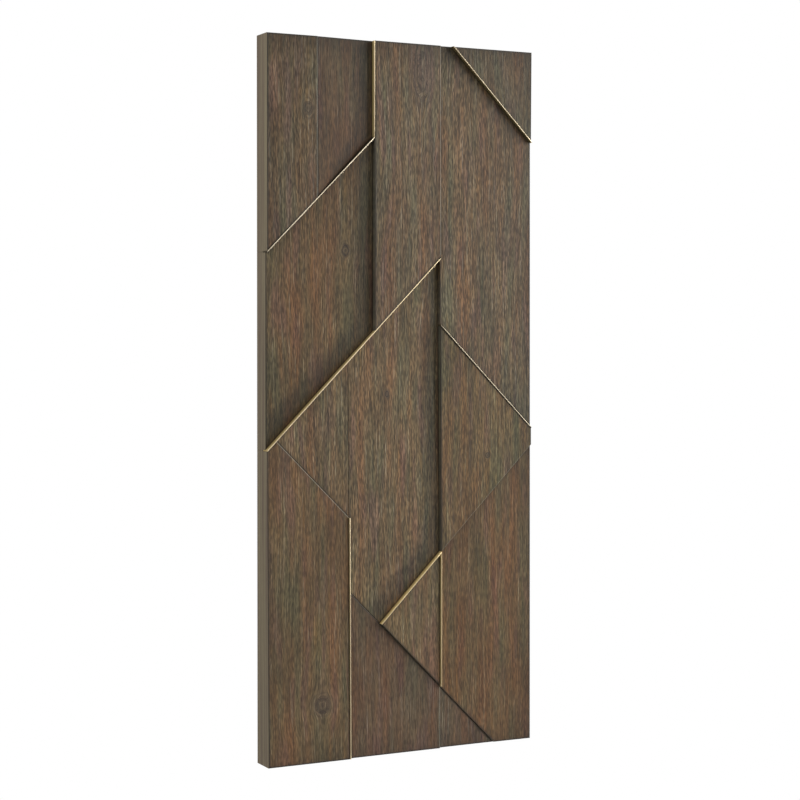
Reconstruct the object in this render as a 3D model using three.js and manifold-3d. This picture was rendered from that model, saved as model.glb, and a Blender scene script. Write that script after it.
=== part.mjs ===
// Wooden relief wall panel: solid boards of different thickness, cut on vertical
// and 45 degree lines, with thin brass bars let into slots along the raised edges.
//
// Frame: millimetres, +Z up. The flat back lies in the plane Y = 0 and the relief
// faces -Y. The origin is the centre of the back. Plan positions are given as s,
// measured from the left edge, and z, measured up from the bottom edge. Depths are
// thicknesses t, measured forward from the back.

import * as THREE from 'three';
import { mergeVertices } from 'three/addons/utils/BufferGeometryUtils.js';
import Module from 'manifold-3d';

const wasm = await Module();
wasm.setup();

// ---------- driving dimensions ----------

const WIDTH = 508;
const HEIGHT = 1219.2;

const BAR_THICKNESS = 1.5;
const BAR_DEPTH = 19;
const GAP = 0.3;

// Vertical seams, by their distance from the left edge.
const SEAM_TOP_LEFT = 91.5;
const SEAM_UPPER = 198;
const SEAM_LOWER = 150.5;
const SEAM_RIGHT = 326;

// Rising seams run along z = s + c, falling ones along z = c - s.
const RISING_TOP = 857;
const RISING_LONG = 526.7;
const RISING_LOWER = 16;
const FALLING_TOP = 1568.5;
const FALLING_RIGHT = 1062.2;
const FALLING_LEFT = 560;
const FALLING_LOWER = 434.5;

// ---------- plan lines ----------

// A line is a unit normal (ns, nz) and the distance c: the side kept is ns*s + nz*z <= c.
const line = (ns, nz, c) => {
  const length = Math.hypot(ns, nz);
  return { ns: ns / length, nz: nz / length, c: c / length };
};
const flip = ({ ns, nz, c }) => ({ ns: -ns, nz: -nz, c: -c });
const moved = ({ ns, nz, c }, outward) => ({ ns, nz, c: c + outward });

const leftOf = (s) => line(1, 0, s);
const rightOf = (s) => line(-1, 0, -s);
const below = (z) => line(0, 1, z);
const above = (z) => line(0, -1, -z);
const underRising = (c) => line(-1, 1, c);
const overRising = (c) => flip(underRising(c));
const underFalling = (c) => line(1, 1, c);
const overFalling = (c) => flip(underFalling(c));

// The four outer edges of the panel; boards end on them exactly.
const LEFT = { ...rightOf(0), outer: true };
const RIGHT = { ...leftOf(WIDTH), outer: true };
const TOP = { ...below(HEIGHT), outer: true };
const BOTTOM = { ...above(0), outer: true };

function corner(a, b) {
  const det = a.ns * b.nz - a.nz * b.ns;
  return [(a.c * b.nz - b.c * a.nz) / det, (a.ns * b.c - b.ns * a.c) / det];
}

// ---------- depths ----------

// The flat face through three points, each given as [s, z, t].
function face(p, q, r) {
  const [u, v] = [q, r].map((point) => point.map((value, axis) => value - p[axis]));
  const det = u[0] * v[1] - u[1] * v[0];
  const slopeS = (u[2] * v[1] - v[2] * u[1]) / det;
  const slopeZ = (v[2] * u[0] - u[2] * v[0]) / det;
  return (s, z) => p[2] + slopeS * (s - p[0]) + slopeZ * (z - p[1]);
}

const BACK = () => 0;
const lowered = (surface, by) => (s, z) => surface(s, z) - by;

// ---------- solids ----------

// The prism over the polygon that consecutive lines bound, going round the outline,
// from the surface `back` to the surface `front`.
function slab(lines, front, back) {
  const points = lines.map((edge, i) => {
    const [s, z] = corner(edge, lines[(i + 1) % lines.length]);
    return new THREE.Vector2(s, z);
  });
  const outline = new THREE.Shape(points);
  const geometry = new THREE.ExtrudeGeometry(outline, { depth: 1, bevelEnabled: false });
  const position = geometry.attributes.position;
  for (let i = 0; i < position.count; i++) {
    const [s, z] = [position.getX(i), position.getY(i)];
    const t = position.getZ(i) > 0.5 ? front(s, z) : back(s, z);
    position.setXYZ(i, s - WIDTH / 2, -t, z - HEIGHT / 2);
  }
  geometry.deleteAttribute('normal');
  geometry.deleteAttribute('uv');
  return mergeVertices(geometry, 1e-4);
}

function toSolid(geometry) {
  const vertProperties = new Float32Array(geometry.attributes.position.array);
  const triVerts = new Uint32Array(geometry.index.array);
  return new wasm.Manifold(new wasm.Mesh({ numProp: 3, vertProperties, triVerts }));
}

function toGeometry(solid) {
  const { vertProperties, triVerts } = solid.getMesh();
  const geometry = new THREE.BufferGeometry();
  geometry.setAttribute('position', new THREE.BufferAttribute(vertProperties, 3));
  geometry.setIndex(new THREE.BufferAttribute(triVerts, 1));
  geometry.computeVertexNormals();
  return geometry;
}

// ---------- brass bars ----------

// Where two bars meet, each is cut back to the line that halves the angle between
// them. `turn` is the angle of that line's normal in the plan, in degrees.
function mitre(s, z, turn) {
  const [ns, nz] = [Math.cos(THREE.MathUtils.degToRad(turn)), Math.sin(THREE.MathUtils.degToRad(turn))];
  return line(ns, nz, ns * s + nz * z);
}

const upperMitre = mitre(SEAM_UPPER, SEAM_UPPER + RISING_TOP, 67.5);
const lowerMitre = mitre(SEAM_RIGHT, SEAM_RIGHT + RISING_LOWER, -22.5);

// side: the seam that the bar is centred on; ends: the lines that it stops at;
// front: its front edge as two points [s, z, t].
const BARS = {
  bar_top_left_rising: {
    side: underRising(RISING_TOP),
    ends: [LEFT, upperMitre],
    front: [[0, 857, 44.8], [198, 1055, 44.4]],
  },
  bar_top_vertical: {
    side: rightOf(SEAM_UPPER),
    ends: [flip(upperMitre), TOP],
    front: [[198, 1055, 44.4], [198, 1219, 44.6]],
  },
  bar_long_rising: {
    side: underRising(RISING_LONG),
    ends: [LEFT, leftOf(SEAM_RIGHT)],
    front: [[0, 526.7, 44.7], [326, 852.7, 46.4]],
  },
  bar_top_right_falling: {
    side: underFalling(FALLING_TOP),
    ends: [TOP, RIGHT],
    front: [[349.3, 1219.2, 48.2], [508, 1060.5, 46.6]],
  },
  bar_right_falling: {
    side: underFalling(FALLING_RIGHT),
    ends: [rightOf(SEAM_RIGHT), RIGHT],
    front: [[326, 736.2, 44.6], [508, 554.2, 45.8]],
  },
  bar_bottom_left_vertical: {
    side: rightOf(SEAM_LOWER),
    ends: [BOTTOM, below(FALLING_LEFT - SEAM_LOWER)],
    front: [[150.5, 0, 49.4], [150.5, 409.5, 46.2]],
  },
  bar_lower_rising: {
    side: underRising(RISING_LOWER),
    ends: [overFalling(FALLING_LOWER), lowerMitre],
    front: [[209.25, 225.25, 49.4], [326, 342, 47.6]],
  },
  bar_lower_vertical: {
    side: leftOf(SEAM_RIGHT),
    ends: [flip(lowerMitre), overFalling(FALLING_LOWER)],
    front: [[326, 342, 47.6], [326, 108.5, 47.4]],
  },
};

// The bar's front is level across its thickness, so its face passes through both
// ends of the centre line and a third point straight across from the first.
function barFace({ side, front: [start, end] }) {
  const across = [start[0] + side.ns, start[1] + side.nz, start[2]];
  return face(start, end, across);
}

function barLines({ side, ends: [first, last] }, room) {
  const half = BAR_THICKNESS / 2 + room;
  const back = (end) => (end.outer ? moved(end, room) : moved(end, room - GAP / 2));
  return [moved(side, half), back(last), moved(flip(side), half), back(first)];
}

// Going round the four lines must turn one way whichever way the bar was described.
function turningLeft(lines) {
  const [[s0, z0], [s1, z1], [s2, z2]] = [0, 1, 2].map((i) => corner(lines[i], lines[(i + 1) % 4]));
  const turn = (s1 - s0) * (z2 - z1) - (z1 - z0) * (s2 - s1);
  return turn > 0 ? lines : [...lines].reverse();
}

function barSolid(bar) {
  const surface = barFace(bar);
  return slab(turningLeft(barLines(bar, 0)), surface, lowered(surface, BAR_DEPTH));
}

// The slot is the bar's own shape with the gap all round, open to the front.
function slotSolid(bar) {
  const surface = barFace(bar);
  return slab(turningLeft(barLines(bar, GAP)), lowered(surface, -BAR_DEPTH), lowered(surface, BAR_DEPTH + GAP));
}

// ---------- wooden boards ----------

// edges: the lines round the board, turning left; surface: its flat front.
const BOARDS = {
  board_top_left: {
    edges: [leftOf(SEAM_TOP_LEFT), TOP, LEFT, overRising(RISING_TOP)],
    surface: face([0, 857, 43.2], [0, 1219.2, 43.2], [91.5, 1219.2, 44.8]),
  },
  board_top_left_inner: {
    edges: [leftOf(SEAM_UPPER), TOP, rightOf(SEAM_TOP_LEFT), overRising(RISING_TOP)],
    surface: face([91.5, 948.5, 43], [91.5, 1219.2, 43], [198, 1219.2, 36.4]),
  },
  board_left_slanted: {
    edges: [leftOf(SEAM_UPPER), underRising(RISING_TOP), LEFT, overRising(RISING_LONG)],
    surface: face([0, 526.7, 35], [0, 857, 35.8], [198, 724.7, 37.8]),
  },
  board_top_middle: {
    edges: [leftOf(SEAM_RIGHT), TOP, rightOf(SEAM_UPPER), overRising(RISING_LONG)],
    surface: face([198, 724.7, 46.2], [198, 1219.2, 45], [326, 1219.2, 44.4]),
  },
  board_top_right_corner: {
    edges: [RIGHT, TOP, overFalling(FALLING_TOP)],
    surface: face([349.3, 1219.2, 43.4], [508, 1219.2, 45.6], [508, 1060.5, 43.9]),
  },
  board_right_upper: {
    edges: [RIGHT, underFalling(FALLING_TOP), TOP, rightOf(SEAM_RIGHT), overFalling(FALLING_RIGHT)],
    surface: face([326, 736.2, 40.2], [508, 1060.5, 40.2], [508, 554.2, 41]),
  },
  board_centre_left: {
    edges: [leftOf(SEAM_LOWER), underRising(RISING_LONG), overFalling(FALLING_LEFT)],
    surface: face([209, 225, 41.6], [326, 342, 39.4], [326, 852.7, 33.4]),
  },
  board_centre_right: {
    edges: [
      leftOf(SEAM_RIGHT), underRising(RISING_LONG), rightOf(SEAM_LOWER),
      overFalling(FALLING_LOWER), overRising(RISING_LOWER),
    ],
    surface: face([209, 225, 41.6], [326, 342, 39.4], [326, 852.7, 33.4]),
  },
  board_right_middle: {
    edges: [RIGHT, underFalling(FALLING_RIGHT), rightOf(SEAM_RIGHT), overRising(RISING_LOWER)],
    surface: face([326, 342, 45.2], [326, 736.2, 42.8], [508, 554.2, 44.8]),
  },
  board_bottom_left: {
    edges: [leftOf(SEAM_LOWER), underFalling(FALLING_LEFT), underRising(RISING_LONG), LEFT, BOTTOM],
    surface: face([0, 0, 48.2], [150.5, 0, 48.4], [0, 526.7, 42]),
  },
  board_lower_triangle: {
    edges: [leftOf(SEAM_RIGHT), underRising(RISING_LOWER), overFalling(FALLING_LOWER)],
    surface: face([209, 225, 47], [326, 342, 44], [326, 108.5, 44.4]),
  },
  board_bottom_middle: {
    edges: [leftOf(SEAM_RIGHT), underFalling(FALLING_LOWER), rightOf(SEAM_LOWER), BOTTOM],
    surface: face([150.5, 0, 42.4], [326, 0, 42.2], [150.5, 284, 42.4]),
  },
  board_bottom_corner: {
    edges: [underFalling(FALLING_LOWER), rightOf(SEAM_RIGHT), BOTTOM],
    surface: face([326, 0, 37.4], [434.5, 0, 37.8], [326, 108.5, 36.2]),
  },
  board_bottom_right: {
    edges: [RIGHT, underRising(RISING_LOWER), rightOf(SEAM_RIGHT), overFalling(FALLING_LOWER), BOTTOM],
    surface: face([434.5, 0, 40], [508, 0, 41.8], [508, 524, 41.2]),
  },
};

function boardSolid({ edges, surface }, slots) {
  const lines = edges.map((edge) => (edge.outer ? edge : moved(edge, -GAP / 2)));
  const whole = toSolid(slab(lines, surface, BACK));
  return toGeometry(slots.reduce((solid, slot) => solid.subtract(slot), whole));
}

// ---------- the panel ----------

const WOOD = { color: 0x63554a, roughness: 0.7, metalness: 0 };
const BRASS = { color: 0xc2ad7c, roughness: 0.35, metalness: 1 };

function part(name, geometry, finish) {
  const mesh = new THREE.Mesh(geometry, new THREE.MeshStandardMaterial(finish));
  mesh.name = name;
  return mesh;
}

const panel = new THREE.Group();
const slots = Object.values(BARS).map((bar) => toSolid(slotSolid(bar)));

for (const [name, board] of Object.entries(BOARDS)) {
  panel.add(part(name, boardSolid(board, slots), WOOD));
}
for (const [name, bar] of Object.entries(BARS)) {
  panel.add(part(name, barSolid(bar), BRASS));
}

export default panel;
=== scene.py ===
import math

import bpy
import numpy as np
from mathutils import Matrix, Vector


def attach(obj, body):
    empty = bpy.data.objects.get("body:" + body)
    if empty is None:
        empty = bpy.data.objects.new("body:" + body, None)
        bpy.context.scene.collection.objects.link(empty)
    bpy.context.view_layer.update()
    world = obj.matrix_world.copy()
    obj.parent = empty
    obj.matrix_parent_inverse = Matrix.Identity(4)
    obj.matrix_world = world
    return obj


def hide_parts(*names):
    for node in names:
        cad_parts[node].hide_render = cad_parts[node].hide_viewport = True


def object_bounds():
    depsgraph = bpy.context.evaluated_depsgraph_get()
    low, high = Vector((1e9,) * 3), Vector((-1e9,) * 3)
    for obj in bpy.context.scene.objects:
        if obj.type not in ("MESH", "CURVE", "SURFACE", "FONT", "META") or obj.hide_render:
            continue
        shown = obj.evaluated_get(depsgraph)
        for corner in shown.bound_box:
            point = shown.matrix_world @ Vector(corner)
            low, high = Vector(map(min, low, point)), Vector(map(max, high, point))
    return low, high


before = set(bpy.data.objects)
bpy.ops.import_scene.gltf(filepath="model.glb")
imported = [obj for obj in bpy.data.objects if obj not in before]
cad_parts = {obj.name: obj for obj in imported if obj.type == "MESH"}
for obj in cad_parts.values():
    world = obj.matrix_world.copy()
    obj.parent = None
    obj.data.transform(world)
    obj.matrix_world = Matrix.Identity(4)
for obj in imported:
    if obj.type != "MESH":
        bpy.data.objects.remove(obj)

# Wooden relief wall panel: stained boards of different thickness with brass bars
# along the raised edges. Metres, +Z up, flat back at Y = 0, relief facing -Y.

cad_low, cad_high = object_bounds()

MM = 0.001

# ---------- camera ----------

CAMERA_PLACE = (-1.4805, -2.9215, 0.1137)
CAMERA_TURN = 27.107     # degrees to the right of straight on
CAMERA_DIP = 0.837       # degrees below level


def set_camera():
    """A long lens to the left of the panel, a little above its middle and looking a
    little down, with a small shift that puts the panel in the middle of the view."""
    data = bpy.data.cameras.new("camera")
    data.sensor_width = 36
    data.lens = 84.87
    data.shift_y = -0.05
    data.clip_start, data.clip_end = 0.1, 60
    camera = bpy.data.objects.new("camera", data)
    camera.location = CAMERA_PLACE
    camera.rotation_euler = (math.radians(90 - CAMERA_DIP), 0, math.radians(-CAMERA_TURN))
    bpy.context.scene.collection.objects.link(camera)
    bpy.context.scene.camera = camera


# ---------- meshes from arrays ----------

WELD = 1e-7              # points that round to the same multiple of this are one point


def merged(points, triangles):
    """Joins points that coincide, and drops the triangles that this leaves with no area.
    Gives the joined points, the triangles on them, and the first old index of each point."""
    keys = np.round(points / WELD).astype(np.int64)
    _, first, where = np.unique(keys, axis=0, return_index=True, return_inverse=True)
    triangles = where.reshape(-1)[triangles]
    a, b, c = triangles.T
    return points[first], triangles[(a != b) & (b != c) & (c != a)], first


def mesh_object(name, points, triangles, fields, smooth_angle):
    """A new object with these points and triangles; fields are point attributes, one
    number or three numbers to a point."""
    mesh = bpy.data.meshes.new(name)
    mesh.vertices.add(len(points))
    mesh.vertices.foreach_set("co", points.astype(np.float32).ravel())
    mesh.loops.add(triangles.size)
    mesh.loops.foreach_set("vertex_index", triangles.astype(np.int32).ravel())
    mesh.polygons.add(len(triangles))
    mesh.polygons.foreach_set("loop_start", np.arange(0, triangles.size, 3, dtype=np.int32))
    mesh.polygons.foreach_set("use_smooth", np.ones(len(triangles), bool))
    mesh.update(calc_edges=True)
    for key, values in fields.items():
        kind, slot = ("FLOAT", "value") if values.ndim == 1 else ("FLOAT_VECTOR", "vector")
        field = mesh.attributes.new(key, kind, "POINT")
        field.data.foreach_set(slot, values.astype(np.float32).ravel())
    mesh.set_sharp_from_angle(angle=math.radians(smooth_angle))
    mesh.validate()
    thing = bpy.data.objects.new(name, mesh)
    bpy.context.scene.collection.objects.link(thing)
    return thing


def grid_triangles(rows, columns):
    """The triangles of a grid of points numbered row by row, turning from one row to the
    next and from one column to the next."""
    index = np.arange(rows * columns).reshape(rows, columns)
    a, b = index[:-1, :-1].ravel(), index[:-1, 1:].ravel()
    c, d = index[1:, 1:].ravel(), index[1:, :-1].ravel()
    return np.concatenate([np.stack([a, b, c], 1), np.stack([a, c, d], 1)])


def node_mesh(node):
    """Points and triangles of a CAD node, with its loose triangles joined."""
    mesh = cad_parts[node].data
    mesh.calc_loop_triangles()
    points = np.zeros(len(mesh.vertices) * 3, np.float32)
    mesh.vertices.foreach_get("co", points)
    triangles = np.zeros(len(mesh.loop_triangles) * 3, np.int32)
    mesh.loop_triangles.foreach_get("vertices", triangles)
    return merged(points.reshape(-1, 3).astype(float), triangles.reshape(-1, 3))[:2]


def open_edges(triangles):
    """The directed edges, one row each, that only one triangle has."""
    edges = np.concatenate([triangles[:, [0, 1]], triangles[:, [1, 2]], triangles[:, [2, 0]]])
    size = int(triangles.max()) + 1
    forth, back = edges[:, 0] * size + edges[:, 1], edges[:, 1] * size + edges[:, 0]
    return edges[~np.isin(forth, back)]


def plane_y(plane, x, z):
    """The y of a plane at each place (x, z)."""
    return plane[0] * x + plane[1] * z + plane[2]


# ---------- wooden boards ----------

EASE = 1.0 * MM          # radius of the rubbed edges
COLUMN = 1.1 * MM        # spacing of the mesh across the grain
ROW = 5.0 * MM           # and along it
LIP = 1.0 * MM           # height of the band of wall under a rubbed edge
SHOULDER = 3.0 * MM      # depth at which the fine front joins the plain body
CRUMB = 0.8 * MM         # a side shorter than this is a crumb where two slots meet
HAIR = 0.03 * MM         # columns this close to a corner's are left out
UPRIGHT = 1e-6           # a side that runs less than this across the board is upright
SLACK = 1e-9             # allowed when columns are compared
FLATNESS = 0.02 * MM     # a triangle this close to the front's plane is part of it
GRAIN_DEPTH = 0.16 * MM  # how deep the soft wood is worn away
WANDER = 9 * MM          # how far the grain wanders sideways
TIMBER_SHIFT = 3         # each board's grain is moved by at most this many metres
PLAIN_EDGE_DISTANCE = 12 * MM     # the body counts as this far from any edge,
PLAIN_LEAN = -0.8        # and as leaning away from the light

NO_KNOT = (9.0, 9.0, 0.0)    # a place far off, in radii, and no dark

WANDER_SEED = 7
FINE_SEED, COARSE_SEED, SHIFT_SEED = 40, 80, 500    # each board adds its number to these

# Where the quarter circle of a rubbed edge gets its mesh lines, in from the outline.
ARC = EASE * (1 - np.cos(np.radians([0, 22.5, 45, 67.5, 90])))

# Knots: board, distance from the panel's left edge, height above its bottom edge and
# radius, in mm, the reach up and down in radii, and how dark.
KNOTS = [
    ("board_bottom_left", 99, 97, 12, 1, 1, 0.75),
    ("board_top_middle", 290, 1158, 14, 5, 1.9, 0),
    ("board_left_slanted", 146, 862, 6, 1.6, 1.6, 1),
    ("board_top_left", 74, 1098, 7, 1.5, 1.5, 0.5),
    ("board_centre_right", 225, 618, 3.5, 1.4, 1.4, 1),
    ("board_right_middle", 419, 508, 4, 1.2, 1.2, 1),
]

# How the stain took on each board: its red, green and blue shares.
BOARD_TONE = {
    "board_top_left": (0.67, 0.68, 0.72), "board_top_left_inner": (0.57, 0.50, 0.47),
    "board_left_slanted": (0.71, 0.66, 0.61), "board_top_middle": (0.75, 0.74, 0.77),
    "board_top_right_corner": (0.67, 0.68, 0.72), "board_right_upper": (0.73, 0.72, 0.73),
    "board_centre_left": (0.84, 0.83, 0.82), "board_centre_right": (0.84, 0.83, 0.82),
    "board_right_middle": (0.71, 0.71, 0.61), "board_bottom_left": (0.79, 0.73, 0.67),
    "board_lower_triangle": (0.98, 0.91, 0.84), "board_bottom_middle": (0.64, 0.57, 0.60),
    "board_bottom_corner": (0.64, 0.62, 0.69), "board_bottom_right": (0.75, 0.65, 0.56),
}

# How strongly the fine fibre shows on each board.
BOARD_GRIT = {
    "board_top_left": 2.2, "board_top_left_inner": 1.7, "board_left_slanted": 1.9,
    "board_top_middle": 2.3, "board_top_right_corner": 2.0, "board_right_upper": 2.4,
    "board_centre_left": 2.2, "board_centre_right": 2.2, "board_right_middle": 2.1,
    "board_bottom_left": 1.7, "board_lower_triangle": 1.9, "board_bottom_middle": 1.5,
    "board_bottom_corner": 1.6, "board_bottom_right": 1.7,
}


def drift(x, z, across, along, seed):
    """Smooth random numbers from 0 to 1: random values on a lattice with these two
    spacings, blended between lattice points by the curve 3 f^2 - 2 f^3."""
    u, v = x / across, z / along
    i, j = np.floor(u).astype(int), np.floor(v).astype(int)
    f, g = u - i, v - j
    f, g = f * f * (3 - 2 * f), g * g * (3 - 2 * g)
    i, j = i - i.min(), j - j.min()
    value = np.random.default_rng(seed).random((i.max() + 2, j.max() + 2))
    low = value[i, j] * (1 - f) + value[i + 1, j] * f
    high = value[i, j + 1] * (1 - f) + value[i + 1, j + 1] * f
    return low * (1 - g) + high * g


def front_of(points, triangles):
    """The flat front of a board: which triangles it has, its outline as point numbers
    turning left seen from the front, and its plane as y = plane . (x, z, 1)."""
    a, b, c = (points[triangles[:, i]] for i in range(3))
    area = np.cross(b - a, c - a)
    largest = np.argmin(area[:, 1])
    normal = area[largest] / np.linalg.norm(area[largest])
    off = np.abs((points[triangles] - a[largest]) @ normal).max(1)
    flat = off < FLATNESS
    after = dict(open_edges(triangles[flat]).tolist())
    loop = [next(iter(after))]
    while after[loop[-1]] != loop[0]:
        loop.append(after[loop[-1]])
    corners = points[loop]
    level = np.column_stack([corners[:, 0], corners[:, 2], np.ones(len(loop))])
    plane = np.linalg.lstsq(level, corners[:, 1], rcond=None)[0]
    return flat, np.array(loop), plane


def outline_distance(x, z, corners):
    """Distance from each place to the nearest side of the outline, and that side."""
    run = np.roll(corners, -1, 0) - corners
    far = np.stack([x, z], -1)[..., None, :] - corners
    share = np.clip((far * run).sum(-1) / (run**2).sum(-1), 0, 1)
    off = np.linalg.norm(far - share[..., None] * run, axis=-1)
    return off.min(-1), off.argmin(-1)


def spread(low, high, count):
    """Heights from low to high in each column: close together along an eased edge at
    either end, as wide as on a side at 45 degrees, and even between."""
    step = ARC * math.sqrt(2)
    fit = np.minimum(1, (high - low) / (3 * step[-1]))
    even = np.linspace(0, 1, count + 2)[1:-1, None]
    start, stop = low + step[-1] * fit, high - step[-1] * fit
    return np.concatenate([
        low + step[:, None] * fit, start + (stop - start) * even, high - step[::-1, None] * fit,
    ])


def plain_corners(corners):
    """Which corners to keep: those with a side on one hand that isn't a crumb."""
    side = np.linalg.norm(np.roll(corners, -1, 0) - corners, axis=1)
    return (side > CRUMB) | (np.roll(side, 1) > CRUMB)


def chain_heights(corners, left, right, x):
    """Heights of the lower and upper sides of the outline over one span of columns."""
    ends = np.roll(corners, -1, 0)
    middle = (left + right) / 2
    heights = []
    for start, stop in ((corners, ends), (ends, corners)):
        side = np.flatnonzero((start[:, 0] < middle) & (stop[:, 0] > middle))[0]
        (x0, z0), (x1, z1) = start[side], stop[side]
        heights.append(z0 + (x - x0) * (z1 - z0) / (x1 - x0))
    return heights


def outline_step(corners, spans):
    """Where the outline's height jumps, because a slot ends part of the way along a side:
    upper side or lower, the height on the narrow part, the jump's column, and whether the
    narrow part is the left one. None if it doesn't jump."""
    for (a, b), (c, d) in zip(spans[:-1], spans[1:]):
        left, right = chain_heights(corners, a, b, b), chain_heights(corners, c, d, c)
        narrow_left = left[1] - left[0] < right[1] - right[0]
        for upper in (0, 1):
            if abs(left[upper] - right[upper]) > MM:
                return upper, (left if narrow_left else right)[upper], b, narrow_left
    return None


def front_columns(corners, stops):
    """Columns of the fine front: evenly spaced, closer along upright sides, and one at
    each of the corners, stops."""
    count = math.ceil((stops[-1] - stops[0]) / COLUMN)
    columns = [np.linspace(stops[0], stops[-1], count + 1)]
    upright = np.abs((np.roll(corners, -1, 0) - corners)[:, 0]) < UPRIGHT
    for x in corners[upright, 0]:
        columns += [x - ARC, x + ARC]
    columns = np.unique(np.round(np.concatenate(columns), 7))
    columns = columns[(columns > stops[0]) & (columns < stops[-1])]
    columns = columns[np.abs(columns[:, None] - stops).min(1) > HAIR]
    return np.sort(np.concatenate([columns, stops]))


def front_grid(corners):
    """Places of the fine front: columns along the grain, and in each column heights
    between the lower and the upper side of the outline. Where the outline jumps, a row
    runs across the board at the height of the jump."""
    stops = np.unique(np.round(corners[:, 0], 7))
    spans = list(zip(stops[:-1], stops[1:]))
    columns = front_columns(corners, stops)
    step = outline_step(corners, spans)
    levels = []
    for a, b in spans:
        x = columns[(columns >= a - SLACK) & (columns <= b + SLACK)]
        low, high = chain_heights(corners, a, b, x)
        ledge = high
        if step:
            upper, level, at, narrow_left = step
            narrow = b <= at + SLACK if narrow_left else a >= at - SLACK
            ledge = (high if upper else low) if narrow else np.clip(level, low, high)
        levels.append((x, low, ledge, high))
    counts = [math.ceil(max(np.max(l[i + 1] - l[i]) for l in levels) / ROW) for i in (1, 2)]
    patches = []
    for x, low, ledge, high in levels:
        rows = spread(low, ledge, counts[0])
        if step:
            rows = np.concatenate([rows, spread(ledge, high, counts[1])])
        patches.append((np.broadcast_to(x, rows.shape), rows))
    return patches


def fine_front(corners):
    """Places (x, z) of the fine front's points, and its triangles."""
    points, triangles, used = [], [], 0
    for x, z in front_grid(corners):
        points.append(np.stack([x.ravel(), np.zeros(x.size), z.ravel()], 1))
        triangles.append(grid_triangles(*x.shape) + used)
        used += x.size
    points, triangles, _ = merged(np.concatenate(points), np.concatenate(triangles))
    return points[:, [0, 2]], triangles


# ---------- the relief, and the painted shade and edge light it gives ---

MAP_STEP = 0.5 * MM
MAP_MARGIN = 60 * MM             # bare space kept round the panel in the map
LOW_LIGHT = math.radians(35)     # how far below level the light at the right comes in
SHADE_STRIDE = 2.5 * MM          # spacing of the search for steps
SHADE_STRIDES = 20               # how many strides away a step shades no more
SHADE_FROM = 2.5 * MM            # a step lower than this doesn't shade
SHADE_RISE = 4 * MM              # and one this much higher than that shades in full
TO_LIGHT = (0.95, 0.3)           # the way to the light in the front's plane
FULL_STEP = 1.5 * MM             # a step this high between boards counts in full
PAST_BAR = 4 * MM                # this far out from a side is past any bar
BAR_STEP = 0.4 * MM              # the least that a bar differs from the board past it


def relief_map():
    """Height of the relief over the back on a fine square lattice: each piece's front
    plane, wherever a line from the lattice point crosses its outline an odd number of
    times. Rows run up the panel and columns across it."""
    x = np.arange(cad_low.x - MAP_MARGIN, cad_high.x + MAP_MARGIN, MAP_STEP)
    z = np.arange(cad_low.z - MAP_MARGIN, cad_high.z + MAP_MARGIN, MAP_STEP)
    height = np.zeros((len(z), len(x)), np.float32)
    for node in sorted(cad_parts):
        body, faces = node_mesh(node)
        _, loop, plane = front_of(body, faces)
        corners = body[loop][:, [0, 2]]
        i = np.searchsorted(x, [corners[:, 0].min(), corners[:, 0].max()])
        j = np.searchsorted(z, [corners[:, 1].min(), corners[:, 1].max()])
        u, v = np.meshgrid(x[i[0]:i[1]], z[j[0]:j[1]])
        inside = np.zeros(u.shape, bool)
        for (x0, z0), (x1, z1) in zip(corners, np.roll(corners, -1, 0)):
            if z0 != z1:
                inside ^= ((z0 > v) != (z1 > v)) & (u < x0 + (v - z0) * (x1 - x0) / (z1 - z0))
        part = height[j[0]:j[1], i[0]:i[1]]
        part[inside] = -plane_y(plane, u, v)[inside]
    return height


def thickened(height):
    """The map with every high place two lattice steps wider all round, so that a search
    in longer steps does not jump over a bar."""
    for axis in (0, 1):
        height = np.max([np.roll(height, k, axis) for k in (-2, -1, 0, 1, 2)], 0)
    return height


def relief_at(height, places):
    """Height of the relief at each place (x, z), from the nearest point of the map."""
    step = (places - [cad_low.x, cad_low.z] + MAP_MARGIN) / MAP_STEP
    i, j = step.round().astype(int).T
    return height[j, i]


# A mask for painted shade: the stain is darkened where a place is shut off from the light.
def shut_from_light(x, z, t, height):
    """How far a place at the height t is shut off from the light at the lower right, 0 to
    1: in each direction, the most of (h - a) / b, kept from 0 to 1, times (1 - n / m), h
    being the rise of the relief n strides away, a the lowest step that shades, b the
    further rise that shades in full and m the strides in all. A direction turned from the
    light's side by an angle w counts as ((1 + cos w) / 2)^4."""
    total, shares = np.zeros(len(x)), 0
    for turn in np.radians(np.arange(-80, 81, 20)):
        best = np.zeros(len(x))
        run, rise = math.cos(turn - LOW_LIGHT), math.sin(turn - LOW_LIGHT)
        for stride in range(1, SHADE_STRIDES):
            r = stride * SHADE_STRIDE
            past = np.stack([x + r * run, z + r * rise], 1)
            over = np.clip((relief_at(height, past) - t - SHADE_FROM) / SHADE_RISE, 0, 1)
            best = np.maximum(best, over * (1 - stride / SHADE_STRIDES))
        weight = ((1 + math.cos(turn)) / 2) ** 4
        total += best * weight
        shares += weight
    return total / shares


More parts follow.
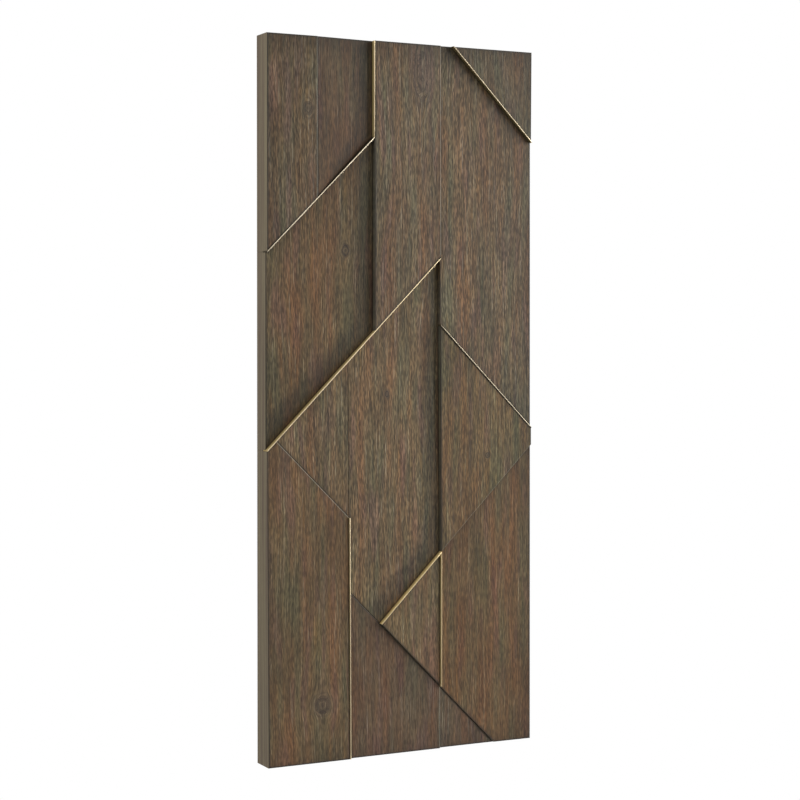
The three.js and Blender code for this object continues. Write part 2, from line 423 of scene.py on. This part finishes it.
def side_lean(corners, plane, height):
    """How each side of a board's outline meets the light. Where it stands over its
    neighbour, its outward normal . the way to the light, and less over a low step. Where
    the neighbour stands higher, -0.28 to -0.8 by the step. Along a bar -0.6, or -0.8 on a
    side that faces up and stands over what is past the bar. Round the panel, -1."""
    run = np.roll(corners, -1, 0) - corners
    normal = np.stack([run[:, 1], -run[:, 0]], 1) / np.linalg.norm(run, axis=1)[:, None]
    middle = corners + run / 2
    here = -plane_y(plane, middle[:, 0], middle[:, 1])
    past = middle + normal * PAST_BAR
    at_close, at_past = relief_at(height, middle + normal * MM), relief_at(height, past)
    over = (here - at_past) / FULL_STEP
    lean = np.where(over > 0, np.minimum(over, 1) * (normal @ TO_LIGHT),
                    0.8 * np.clip(over, -1, -0.35))
    barred = at_close - np.maximum(here, at_past) > -BAR_STEP
    barred &= np.abs(at_close - at_past) > BAR_STEP
    border = (np.abs(past[:, 0]) > cad_high.x) | (np.abs(past[:, 1]) > cad_high.z)
    bar_lean = np.where((normal[:, 1] > 0.1) & (over > 0), -0.8, -0.6)
    return np.where(border, -1, np.where(barred, bar_lean, lean))


def grain_field(name, points, shift):
    """Where each point lies in the timber: its own place moved by the board's shift and a
    slow wander. Round a knot of radius a the lines part as a stream does round a post,
    x (1 - a^2 / r^2). Also the point's place in the board's knot, in radii, and its dark."""
    place = points.copy()
    place[:, 0] += WANDER * drift(points[:, 0], points[:, 2], 45 * MM, 210 * MM, WANDER_SEED)
    eye = np.tile(NO_KNOT, (len(points), 1))
    for board_name, s, z, radius, up, down, dark in KNOTS:
        if board_name == name:
            u = (points[:, 0] - cad_low.x - s * MM) / (radius * MM)
            v = (points[:, 2] - cad_low.z - z * MM) / (radius * MM)
            v /= np.where(v > 0, up, down)
            r = np.maximum(np.hypot(u, v), 0.3)
            place[:, 0] -= radius * MM * u / r**2 * (r > 1)
            eye = np.column_stack([u, v, np.full(len(u), dark)])
    return place + shift, eye


# ---------- one board ----------


def set_back(x, z, edge, number):
    """How far the front lies behind its plane: e - sqrt(e^2 - (e - d)^2) within the rubbed
    edge of radius e, d being the distance from the outline, and the worn grain, from the
    squares of a fine and a coarse drift, which fades out at the outline."""
    near = np.minimum(edge, EASE)
    ease = EASE - np.sqrt(np.maximum(EASE**2 - (EASE - near) ** 2, 0))
    worn = drift(x, z, 1.7 * MM, 21 * MM, FINE_SEED + number) ** 2
    worn += 0.6 * drift(x, z, 4.3 * MM, 55 * MM, COARSE_SEED + number) ** 2
    return ease + worn * GRAIN_DEPTH * (1 - np.exp(-edge / MM))


def lip_band(places, triangles, corners):
    """The narrow band of wall under the rubbed edge: the outline's points in turn, and
    the band's triangles. Its lower points are numbered in that turn, after the front's."""
    a, b = open_edges(triangles).T
    _, side = outline_distance(places[a, 0], places[a, 1], corners)
    run = np.roll(corners, -1, 0) - corners
    share = ((places[a] - corners[side]) * run[side]).sum(1) / (run[side] ** 2).sum(1)
    ring = a[np.argsort(side + share)]
    lower = np.zeros(len(places), int)
    lower[ring] = len(places) + np.arange(len(ring))
    upper_half, lower_half = (b, a, lower[a]), (b, lower[a], lower[b])
    return ring, np.concatenate([np.stack(upper_half, 1), np.stack(lower_half, 1)])


def wall_fans(places, ring, corners, plain, loop):
    """Triangles from the band's many lower points to the body's few corners. Along each
    side the first half fan to the corner where it starts and the rest to the one where it
    ends, with one triangle between the two fans."""
    apart = np.linalg.norm(places[ring][:, None] - corners, axis=-1)
    at = apart.argmin(0)[np.maximum(np.cumsum(plain) - 1, 0)]
    body_from = len(places) + len(ring)
    fans = []
    for k in range(len(loop)):
        after = (k + 1) % len(loop)
        steps = (at[after] - at[k]) % len(ring)
        half = steps // 2
        path = len(places) + (at[k] + np.arange(steps + 1)) % len(ring)
        first, last = body_from + loop[k], body_from + loop[after]
        fans += [np.stack([path[1:half + 1], path[:half], np.full(half, first)], 1),
                 np.stack([path[half + 1:], path[half:-1], np.full(steps - half, last)], 1),
                 np.array([[first, last, path[half]]])]
    return np.concatenate(fans)


def laid_out(counts, *values):
    """A value for each point of a board, from one value, or one a point, for each of its
    parts, which have this many points."""
    return np.concatenate([np.broadcast_to(v, count) for v, count in zip(values, counts)])


def board(node, number, height, thick_height):
    """One board: the CAD node's body with its flat front taken off, the fine front in its
    place, and walls between the two. Of its attributes, wear is the distance from the
    outline, face is 1 on the front and 0 elsewhere, and lean is that of the nearest side."""
    body, faces = node_mesh(node)
    flat, loop, plane = front_of(body, faces)
    plain = plain_corners(body[loop][:, [0, 2]])
    corners = np.round(body[loop[plain]][:, [0, 2]], 7)
    places, triangles = fine_front(corners)
    x, z = places.T
    edge, nearest = outline_distance(x, z, corners)
    level = plane_y(plane, x, z)
    front = np.column_stack([x, level + set_back(x, z, edge, number), z])
    ring, strip = lip_band(places, triangles, corners)
    body[loop, 1] = plane_y(plane, body[loop, 0], body[loop, 2]) + SHOULDER
    points = np.concatenate([front, front[ring] + [0, LIP, 0], body])
    walls = np.concatenate([strip, wall_fans(places, ring, corners, plain, loop)])
    triangles = np.concatenate([triangles, walls, faces[~flat] + len(front) + len(ring)])

    # The share of painted shade from higher neighbours, kept as a point attribute.
    shut = shut_from_light(x, z, -level, thick_height)
    lean = side_lean(corners, plane, height)[nearest]
    random = np.random.default_rng(SHIFT_SEED + number)
    shift = random.uniform(-TIMBER_SHIFT, TIMBER_SHIFT, 3)
    place, eye = grain_field(node, points, shift)
    counts = len(front), len(ring), len(body)
    fields = {
        "edge_distance": laid_out(counts, edge, LIP, PLAIN_EDGE_DISTANCE),
        "face": laid_out(counts, 1.0, 0.0, 0.0),
        "lean": laid_out(counts, lean, lean[ring], PLAIN_LEAN),
        "eye": eye, "grain": place,
        "shut_from_light": laid_out(counts, shut, shut[ring], 0.0),
        "tone": np.tile(BOARD_TONE[node], (len(points), 1)),
        "grit": np.full(len(points), BOARD_GRIT[node]),
    }
    used = np.zeros(len(points), bool)
    used[triangles] = True
    fields = {key: values[used] for key, values in fields.items()}
    triangles = (np.cumsum(used) - 1)[triangles]
    piece = mesh_object(node.replace("board_", "timber_"), points[used], triangles, fields, 35)
    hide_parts(node)
    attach(piece, "root")
    return piece


# ---------- brass bars ----------

ARRIS = 0.2 * MM        # rounding of the bars' edges
BAR_STRIDE = 12 * MM    # spacing of the mesh along a bar

# How golden each bar is, pale to gold, and how bright; the brightness is painted light
# and shade, set bar by bar.
BAR_TINT = {
    "bar_top_left_rising": (0.0, 1.0), "bar_top_vertical": (0.6, 0.88),
    "bar_long_rising": (0.6, 1.08), "bar_top_right_falling": (0.4, 0.52),
    "bar_right_falling": (0.1, 0.5), "bar_bottom_left_vertical": (0.6, 0.88),
    "bar_lower_rising": (1.0, 1.0), "bar_lower_vertical": (0.9, 0.8),
}

# The end that gets painted shade where it meets a seam, 0 for the lower one and 1 for the
# upper, and how far from it the painted shade is full and is gone again.
SHADED_END = {"bar_long_rising": 1, "bar_right_falling": 0}
END_SHADE_REACH = [1.2 * MM, 3.2 * MM]


def bar_corners(node):
    """The eight corners of a bar: by end, the lower one first, then by side, then by
    depth, the front first."""
    points, _ = node_mesh(node)
    flat = points[:, [0, 2]] - points[:, [0, 2]].mean(0)
    along = np.linalg.svd(flat, full_matrices=False)[2][0]
    if along @ [0.3, 1] < 0:
        along = -along
    run = points[:, [0, 2]] @ along
    across = points[:, [0, 2]] @ [along[1], -along[0]]
    corners = np.zeros((2, 2, 2, 3))
    middle = (run.min() + run.max()) / 2
    for end, here in enumerate((run < middle, run > middle)):
        half = (across[here].min() + across[here].max()) / 2
        for side, there in enumerate((across < half, across > half)):
            pair = points[here & there]
            corners[end, side] = pair[np.argsort(pair[:, 1])]
    return corners


def bar_section(thick, deep):
    """Outline of a bar's section: a rectangle with a quarter circle at each corner."""
    turn = np.radians(np.linspace(0, 90, 5))
    quarter = np.stack([np.cos(turn), np.sin(turn)], 1) * ARRIS
    centre = np.array([thick / 2 - ARRIS, deep / 2 - ARRIS])
    section = []
    for hand in ((1, 1), (-1, 1), (-1, -1), (1, -1)):
        arc = quarter if hand[0] == hand[1] else quarter[::-1]
        section.append(arc * hand + centre * hand)
    return np.concatenate(section)


def blended(corners, t, u, v):
    """Places in a bar from three shares, along, across and deep: each of the eight
    corners weighted by the product of its own shares."""
    points = 0
    for i in (0, 1):
        for j in (0, 1):
            for k in (0, 1):
                weight = (t if i else 1 - t) * (u if j else 1 - u) * (v if k else 1 - v)
                points = points + weight[..., None] * corners[i, j, k]
    return points


def closed(values):
    """A grid's rows with their first column repeated at the end, as one long list."""
    rows = np.concatenate([values, values[:, :1]], 1)
    return rows.reshape(-1, *values.shape[2:])


def bar(node, number):
    """A bar with rounded edges: its section carried along it, shrinking near each end by
    the same circle, and closed at the ends. Of its attributes, brushed is the place along
    it and in its section, sunk the depth below its front, and the last one the share of
    painted shade on an end that meets a seam."""
    corners = bar_corners(node)
    length = np.linalg.norm(corners[1] - corners[0], axis=-1).mean()
    along = corners[1, 0, 0] - corners[0, 0, 0]
    along /= np.linalg.norm(along)
    across = corners[:, 1, 0] - corners[:, 0, 0]
    thick = np.linalg.norm(across - (across @ along)[:, None] * along, axis=1).mean()
    deep = np.linalg.norm(corners[0, 0, 1] - corners[0, 0, 0])

    count = max(2, math.ceil(length / BAR_STRIDE))
    even = np.linspace(ARRIS, length - ARRIS, count)
    start = ARRIS * (1 - np.cos(np.radians([0, 30, 60])))
    station = np.concatenate([start[[0]], start, even, length - start[::-1], length - start[[0]]])
    near = np.minimum(np.minimum(station, length - station), ARRIS)
    inset = ARRIS - np.sqrt(np.maximum(ARRIS**2 - (ARRIS - near) ** 2, 0))
    size = np.array([thick / 2, deep / 2])
    keep = 1 - inset[:, None, None] / size
    keep[[0, -1]] = 0
    section = bar_section(thick, deep) * keep
    u, v = np.moveaxis(section / size / 2 + 0.5, -1, 0)
    t = np.broadcast_to((station / length)[:, None], u.shape)
    points = blended(corners, t, u, v)
    brushed = np.stack([t * length + number, section[..., 0], section[..., 1]], -1)

    rows, columns = t.shape
    points, triangles, first = merged(closed(points), grid_triangles(rows, columns + 1))
    a, b, c = (points[triangles[:, i]] for i in range(3))
    volume = np.einsum("ij,ij->", a, np.cross(b, c)) / 6
    if volume < 0:
        triangles = triangles[:, ::-1]
    brushed, sunk = closed(brushed)[first], closed(v * deep)[first]
    from_start = brushed[:, 0] - number
    from_end = {0: from_start, 1: length - from_start}
    end_shade = np.zeros(len(first))
    if node in SHADED_END:
        end_shade = np.interp(from_end[SHADED_END[node]], END_SHADE_REACH, [1, 0])
    gold, bright = BAR_TINT[node]
    fields = {"brushed": brushed, "sunk": sunk, "end_shade": end_shade,
              "gold": np.full(len(first), gold), "bright": np.full(len(first), bright)}
    piece = mesh_object(node.replace("bar_", "brass_"), points, triangles, fields, 50)
    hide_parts(node)
    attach(piece, "root")
    return piece


# ---------- materials: building blocks ----------


def add(tree, kind, inputs=None, **settings):
    """A new node; inputs gives values for its sockets, or sockets to link to them."""
    node = tree.nodes.new(kind)
    for key, value in settings.items():
        setattr(node, key, value)
    for key, value in (inputs or {}).items():
        if isinstance(value, bpy.types.NodeSocket):
            tree.links.new(value, node.inputs[key])
        else:
            node.inputs[key].default_value = value
    return node


def calc(tree, operation, a, b=0.0):
    """One sum: the operation of a Math node on a and b."""
    return add(tree, "ShaderNodeMath", {0: a, 1: b}, operation=operation).outputs[0]


def product(tree, first, *others):
    """All of the numbers multiplied together."""
    for other in others:
        first = calc(tree, "MULTIPLY", first, other)
    return first


def grey(tree, value):
    """A grey that has this value in red, green and blue."""
    return add(tree, "ShaderNodeCombineColor", {0: value, 1: value, 2: value}).outputs[0]


def field(tree, name, output="Fac"):
    """A piece's own point attribute."""
    return add(tree, "ShaderNodeAttribute", attribute_name=name).outputs[output]


def stretched_noise(tree, place, stretch, detail=2.0, rough=0.5, twist=0.0):
    """Noise from 0 to 1 on a place stretched by three factors, in turns to a metre, and
    moved off the noise's own lattice planes."""
    spread_out = add(tree, "ShaderNodeVectorMath", {0: place, 1: stretch, 2: (0.37, 0.43, 0.29)},
                     operation="MULTIPLY_ADD")
    noise = add(tree, "ShaderNodeTexNoise", {
        "Vector": spread_out.outputs[0], "Scale": 1.0, "Detail": detail,
        "Roughness": rough, "Distortion": twist,
    })
    return noise.outputs["Fac"]


def span(tree, value, low, high, to_low=0.0, to_high=1.0):
    """The value's way from low to high, kept within them, as a way from to_low to to_high."""
    return add(tree, "ShaderNodeMapRange", {
        "Value": value, "From Min": low, "From Max": high, "To Min": to_low, "To Max": to_high,
    }).outputs["Result"]


def blend(tree, share, a, b, kind="MIX"):
    """Colour a with this share of colour b."""
    node = add(tree, "ShaderNodeMix", data_type="RGBA", blend_type=kind)
    for socket, value in (("Factor_Float", share), ("A_Color", a), ("B_Color", b)):
        target = next(i for i in node.inputs if i.identifier == socket)
        if isinstance(value, bpy.types.NodeSocket):
            tree.links.new(value, target)
        else:
            target.default_value = value
    return next(o for o in node.outputs if o.identifier == "Result_Color")


def srgb(red, green, blue):
    """A colour given as it looks on a chart, 0 to 255, in the linear values nodes use."""
    parts = np.array([red, green, blue]) / 255
    line = np.where(parts <= 0.04045, parts / 12.92, ((parts + 0.055) / 1.055) ** 2.4)
    return (*line.tolist(), 1.0)


def new_group(name, takes, gives):
    """A node group with these inputs and outputs, each a title and a kind of socket: its
    tree, what it takes, and the node that gives its results."""
    tree = bpy.data.node_groups.new(name, "ShaderNodeTree")
    for title, kind in takes:
        tree.interface.new_socket(title, in_out="INPUT", socket_type=kind)
    for title, kind in gives:
        tree.interface.new_socket(title, in_out="OUTPUT", socket_type=kind)
    return tree, tree.nodes.new("NodeGroupInput").outputs, tree.nodes.new("NodeGroupOutput")


def new_material(name):
    """A material, its node tree and its shader."""
    material = bpy.data.materials.new(name)
    material.use_nodes = True
    return material, material.node_tree, material.node_tree.nodes["Principled BSDF"]


# ---------- stained wood ----------

OLIVE_BROWN, RED_BROWN = srgb(84, 78, 56), srgb(100, 74, 49)
AMBER_BROWN, MAUVE_BROWN = srgb(114, 84, 42), srgb(94, 70, 60)
DRY_FIBRE = srgb(130, 122, 102)
KNOT_HALO, KNOT_DARK = srgb(92, 84, 72), srgb(46, 38, 33)
# Painted shade, blended in where a higher neighbour shuts off the light.
PAINTED_SHADE = srgb(22, 22, 18)
# A painted highlight for edges whose side leans to the light, and painted shade for those that
# lean away.
LIT_EDGE, UNLIT_EDGE = srgb(146, 146, 130), srgb(38, 34, 28)
# Painted shade on the walls between the boards.
PAINTED_WALL_SHADE = srgb(54, 54, 47)
SAWN_PALE, SAWN_DARK = srgb(107, 98, 78), srgb(89, 77, 65)

RIM = 0.2 * MM           # depth of the sawn outer faces

# Shade along the panel's borders: axis, edge, how far in from the edge it starts and is
# full, in mm along the axis, and the share of light left where it is full.
BORDER_SHADE = [
    ("X", cad_high.x, 54, 0, 0.72), ("Z", cad_high.z, 44.6, 0.6, 0.64),
    ("Z", cad_low.z, -39.6, -0.6, 0.76), ("X", cad_low.x, -19, -1, 0.9),
]


def stained_grain_group():
    """Stain in the grain. The colour goes from olive to red brown, with bands of amber
    and mauve brown and dry flecks over that, and is multiplied by streaks, clouds, and the
    fine fibre raised to the power Grit. The height is that of the fibre."""
    tree, takes, out = new_group(
        "Stained grain", [("Place", "NodeSocketVector"), ("Grit", "NodeSocketFloat")],
        [("Colour", "NodeSocketColor"), ("Height", "NodeSocketFloat")])
    place = takes["Place"]
    hue = stretched_noise(tree, place, (42, 42, 4.5))
    cloud = stretched_noise(tree, place, (14, 14, 5), twist=0.3)
    amber = stretched_noise(tree, place, (110, 110, 9), 1)
    mauve = stretched_noise(tree, place, (64, 64, 8), 1)
    dry = stretched_noise(tree, place, (620, 0, 13), 1, 0.6)
    streak = stretched_noise(tree, place, (190, 0, 9), 2, 0.6)
    strand = stretched_noise(tree, place, (700, 0, 16), 1, 0.7)
    speck = stretched_noise(tree, place, (760, 0, 120), 0)
    colour = blend(tree, span(tree, hue, 0.32, 0.68), OLIVE_BROWN, RED_BROWN)
    colour = blend(tree, span(tree, amber, 0.6, 0.84, 0, 0.4), colour, AMBER_BROWN)
    colour = blend(tree, span(tree, mauve, 0.53, 0.69, 0, 0.55), colour, MAUVE_BROWN)
    colour = blend(tree, span(tree, dry, 0.6, 0.76, 0, 0.6), colour, DRY_FIBRE)
    fibre = product(tree, span(tree, strand, 0.33, 0.67, 0.82, 1.16),
                    span(tree, speck, 0.3, 0.7, 0.78, 1.2))
    dark = product(tree, span(tree, streak, 0.34, 0.66, 0.95, 1.05),
                   span(tree, cloud, 0.3, 0.7, 0.86, 1.14),
                   calc(tree, "POWER", fibre, takes["Grit"]))
    colour = blend(tree, 1.0, colour, grey(tree, dark), "MULTIPLY")
    height = calc(tree, "ADD", product(tree, strand, 0.6), product(tree, speck, 0.4))
    tree.links.new(colour, out.inputs["Colour"])
    tree.links.new(height, out.inputs["Height"])
    return tree


def knot_group():
    """Masks round a knot, from the distance r in radii, a little uneven: a grey halo, and
    dark rings, sin 12 r, with a rim at r = 0.9 and a heart as dark as the knot is."""
    tree, takes, out = new_group(
        "Knot", [("Eye", "NodeSocketVector"), ("Place", "NodeSocketVector")],
        [("Halo", "NodeSocketFloat"), ("Dark", "NodeSocketFloat")])
    parts = add(tree, "ShaderNodeSeparateXYZ", {0: takes["Eye"]}).outputs
    flat = add(tree, "ShaderNodeCombineXYZ", {0: parts["X"], 1: parts["Y"]}).outputs[0]
    r = add(tree, "ShaderNodeVectorMath", {0: flat}, operation="LENGTH").outputs["Value"]
    uneven = stretched_noise(tree, takes["Place"], (150, 150, 110), 2, 0.6)
    r = calc(tree, "ADD", r, span(tree, uneven, 0.3, 0.7, -0.16, 0.16))
    wave = calc(tree, "SINE", product(tree, r, 12.0))
    rings = product(tree, span(tree, wave, 0.1, 1, 0, 0.62), span(tree, r, 2.2, 1.0))
    off_rim = calc(tree, "ABSOLUTE", calc(tree, "SUBTRACT", r, 0.9))
    rim, heart = span(tree, off_rim, 0.22, 0.1, 0, 0.85), span(tree, r, 0.45, 0.2, 0, 0.6)
    mark = product(tree, calc(tree, "MAXIMUM", rim, heart), parts["Z"])
    tree.links.new(calc(tree, "MAXIMUM", rings, mark), out.inputs["Dark"])
    tree.links.new(span(tree, r, 2.4, 0.5, 0, 0.3), out.inputs["Halo"])
    return tree


def grain_and_knots(tree):
    """The stained grain with the board's knot in it: its colour and its height."""
    place = field(tree, "grain", "Vector")
    grain = add(tree, "ShaderNodeGroup", node_tree=stained_grain_group())
    tree.links.new(place, grain.inputs["Place"])
    tree.links.new(field(tree, "grit"), grain.inputs["Grit"])
    knots = add(tree, "ShaderNodeGroup", node_tree=knot_group())
    tree.links.new(place, knots.inputs["Place"])
    tree.links.new(field(tree, "eye", "Vector"), knots.inputs["Eye"])
    colour = blend(tree, knots.outputs["Halo"], grain.outputs["Colour"], KNOT_HALO)
    colour = blend(tree, knots.outputs["Dark"], colour, KNOT_DARK)
    return colour, grain.outputs["Height"]


def painted_shade_and_edge_light(tree, colour, edge_distance):
    """Painted shade where a higher neighbour shuts off the light, less of it close to an edge,
    then painted light on the edges: a painted highlight where their side leans to the light,
    painted shade where it leans away."""
    shut = product(tree, span(tree, field(tree, "shut_from_light"), 0.03, 0.3, 0, 0.46),
                   span(tree, edge_distance, 2 * MM, 9 * MM, 0.2, 1))
    colour = blend(tree, shut, colour, PAINTED_SHADE)
    lean = field(tree, "lean")
    lit = product(tree, span(tree, edge_distance, 2.3 * MM, 0.8 * MM), span(tree, lean, 0.1, 0.9, 0, 0.23))
    colour = blend(tree, lit, colour, LIT_EDGE)
    unlit = product(tree, span(tree, edge_distance, 3.4 * MM, 1.2 * MM), span(tree, lean, -0.1, -1, 0, 0.8))
    return blend(tree, unlit, colour, UNLIT_EDGE)


def sawn_colour(tree, where):
    """Plainer wood, veined on all sides, for the faces where the boards were sawn."""
    vein = stretched_noise(tree, where, (25, 120, 2.5))
    fine = stretched_noise(tree, where, (300, 700, 60), 2, 0.6)
    colour = blend(tree, span(tree, vein, 0.38, 0.62), SAWN_PALE, SAWN_DARK)
    return blend(tree, 0.22, colour, grey(tree, fine), "OVERLAY")


def stained_wood():
    """Stained fronts with painted shade and painted edge highlights, painted shade on the
    walls between the boards, and the panel's sawn outer faces.
    """
    material, tree, shader = new_material("stained_wood")
    edge_distance = field(tree, "edge_distance")
    where = add(tree, "ShaderNodeTexCoord").outputs["Object"]
    place = add(tree, "ShaderNodeSeparateXYZ", {0: where}).outputs
    colour, height = grain_and_knots(tree)
    # Painted shade: darker along the panel's borders and within 9 mm of every board's outline.
    borders = [span(tree, place[axis], edge - start * MM, edge - full * MM, 1.0, left)
               for axis, edge, start, full, left in BORDER_SHADE]
    shade = product(tree, *borders, span(tree, edge_distance, 0, 9 * MM, 0.84, 1))
    colour = blend(tree, 1.0, colour, grey(tree, shade), "MULTIPLY")
    colour = blend(tree, 1.0, colour, field(tree, "tone", "Color"), "MULTIPLY")
    colour = painted_shade_and_edge_light(tree, colour, edge_distance)
    # Painted shade on the walls between the boards.
    colour = blend(tree, span(tree, field(tree, "face"), 0.8, 0, 0, 0.7), colour, PAINTED_WALL_SHADE)
    outer = [calc(tree, "GREATER_THAN", calc(tree, "ABSOLUTE", place[axis]), edge - RIM)
             for axis, edge in (("X", cad_high.x), ("Z", cad_high.z))]
    colour = blend(tree, calc(tree, "MAXIMUM", *outer), colour, sawn_colour(tree, where))
    tree.links.new(colour, shader.inputs["Base Color"])
    bump = add(tree, "ShaderNodeBump", {"Strength": 0.5, "Distance": 0.4 * MM, "Height": height})
    tree.links.new(bump.outputs["Normal"], shader.inputs["Normal"])
    shader.inputs["Roughness"].default_value = 0.62
    shader.inputs["Specular IOR Level"].default_value = 0.25
    return material


# ---------- brushed brass ----------

PALE_FRONT, GOLD_FRONT = srgb(238, 224, 198), srgb(238, 214, 166)
PATINA = srgb(200, 178, 138)
FLANK_TOP, FLANK_DEEP = srgb(240, 218, 160), srgb(214, 188, 128)
# Painted shade for the flanks of a pale bar.
PAINTED_FLANK_SHADE = srgb(84, 76, 60)
# Painted shade for a bar's end where it meets a seam.
PAINTED_END_SHADE = srgb(40, 36, 26)


def brushed_brass():
    """Brass brushed along the bar: a smooth front, and rougher flanks that go deeper in
    colour towards the wood. A pale bar's flanks are painted shade, a dark grey."""
    material, tree, shader = new_material("brushed_brass")
    place = field(tree, "brushed", "Vector")
    line = stretched_noise(tree, place, (25, 2600, 2600), 2, 0.6)
    patina = stretched_noise(tree, place, (40, 300, 300), 3, 0.6)
    sunk, golden = field(tree, "sunk"), field(tree, "gold")
    flanked = span(tree, sunk, 0.1 * MM, 0.5 * MM)
    rough = calc(tree, "ADD", span(tree, line, 0.3, 0.7, 0.34, 0.46),
                 span(tree, flanked, 0, 1, 0, 0.18))
    tree.links.new(rough, shader.inputs["Roughness"])
    front = blend(tree, golden, PALE_FRONT, GOLD_FRONT)
    front = blend(tree, span(tree, patina, 0.4, 0.75, 0, 0.5), front, PATINA)
    flank = blend(tree, span(tree, sunk, 0.5 * MM, 9 * MM), FLANK_TOP, FLANK_DEEP)
    # The less golden the bar, the more painted shade on its flanks.
    flank = blend(tree, span(tree, golden, 0, 0.9), PAINTED_FLANK_SHADE, flank)
    colour = blend(tree, flanked, front, flank)
    # Painted light and shade: each bar's colour scaled by its own brightness.
    colour = blend(tree, 1.0, colour, grey(tree, field(tree, "bright")), "MULTIPLY")
    # Painted shade on a bar's end where it meets a seam.
    colour = blend(tree, field(tree, "end_shade"), colour, PAINTED_END_SHADE)
    tree.links.new(colour, shader.inputs["Base Color"])
    bump = add(tree, "ShaderNodeBump", {"Strength": 0.1, "Distance": 0.03 * MM, "Height": line})
    tree.links.new(bump.outputs["Normal"], shader.inputs["Normal"])
    shader.inputs["Metallic"].default_value = 1.0
    return material


# ---------- light and floor ----------

FLOOR_DROP = 1.0         # the panel hangs this far above the floor
FLOOR_RADIUS = 2.2
FLOOR_WHITE = (0.9, 0.9, 0.9, 1)
WHITE = (1, 1, 1, 1)


def set_light():
    """Surroundings that look white, and as a light are brighter above than below."""
    world = bpy.data.worlds.new("studio")
    world.use_nodes = True
    tree = world.node_tree
    tree.nodes.clear()
    seen = add(tree, "ShaderNodeBackground", {"Color": WHITE, "Strength": 1.0})
    toward = add(tree, "ShaderNodeTexCoord").outputs["Generated"]
    up = add(tree, "ShaderNodeSeparateXYZ", {0: toward}).outputs["Z"]
    strength = span(tree, up, -0.7, 0.7, 0.2, 0.54)
    light = add(tree, "ShaderNodeBackground", {"Color": WHITE, "Strength": strength})
    path = add(tree, "ShaderNodeLightPath")
    mix = add(tree, "ShaderNodeMixShader", {0: path.outputs["Is Camera Ray"]})
    tree.links.new(light.outputs[0], mix.inputs[1])
    tree.links.new(seen.outputs[0], mix.inputs[2])
    out = add(tree, "ShaderNodeOutputWorld")
    tree.links.new(mix.outputs[0], out.inputs["Surface"])
    bpy.context.scene.world = world
    bpy.context.scene.view_settings.view_transform = "Standard"


def soft_box(name, place, size, power):
    """A square lamp that faces the middle of the panel."""
    data = bpy.data.lights.new(name, "AREA")
    data.size, data.energy = size, power
    lamp = bpy.data.objects.new(name, data)
    lamp.location = place
    lamp.rotation_euler = (-Vector(place)).to_track_quat("-Z", "Y").to_euler()
    bpy.context.scene.collection.objects.link(lamp)


def lay_floor():
    """A round floor under the panel: triangles from a ring of points to its middle."""
    level = cad_low.z - FLOOR_DROP
    turn = np.radians(np.arange(0, 360, 5))
    ring = np.stack([np.cos(turn), np.sin(turn)], 1) * FLOOR_RADIUS
    points = np.column_stack([np.concatenate([ring, [[0, 0]]]), np.full(len(ring) + 1, level)])
    index = np.arange(len(ring))
    triangles = np.stack([index, np.roll(index, -1), np.full(len(ring), len(ring))], 1)
    floor = mesh_object("floor", points, triangles, {}, 30)
    material, _, shader = new_material("pale_floor")
    shader.inputs["Base Color"].default_value = FLOOR_WHITE
    shader.inputs["Roughness"].default_value = 0.9
    floor.data.materials.append(material)


# ---------- the panel ----------

set_camera()
set_light()
soft_box("key", (2.85, -1.05, 0.7), 2.5, 215)
soft_box("fill", (-2.5, -0.75, 1.5), 1.6, 66)
lay_floor()

height = relief_map()
thick_height = thickened(height)
wood = stained_wood()
brass = brushed_brass()
names = sorted(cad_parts)
for number, node in enumerate(n for n in names if n.startswith("board_")):
    board(node, number, height, thick_height).data.materials.append(wood)
for number, node in enumerate(n for n in names if n.startswith("bar_")):
    bar(node, number).data.materials.append(brass)
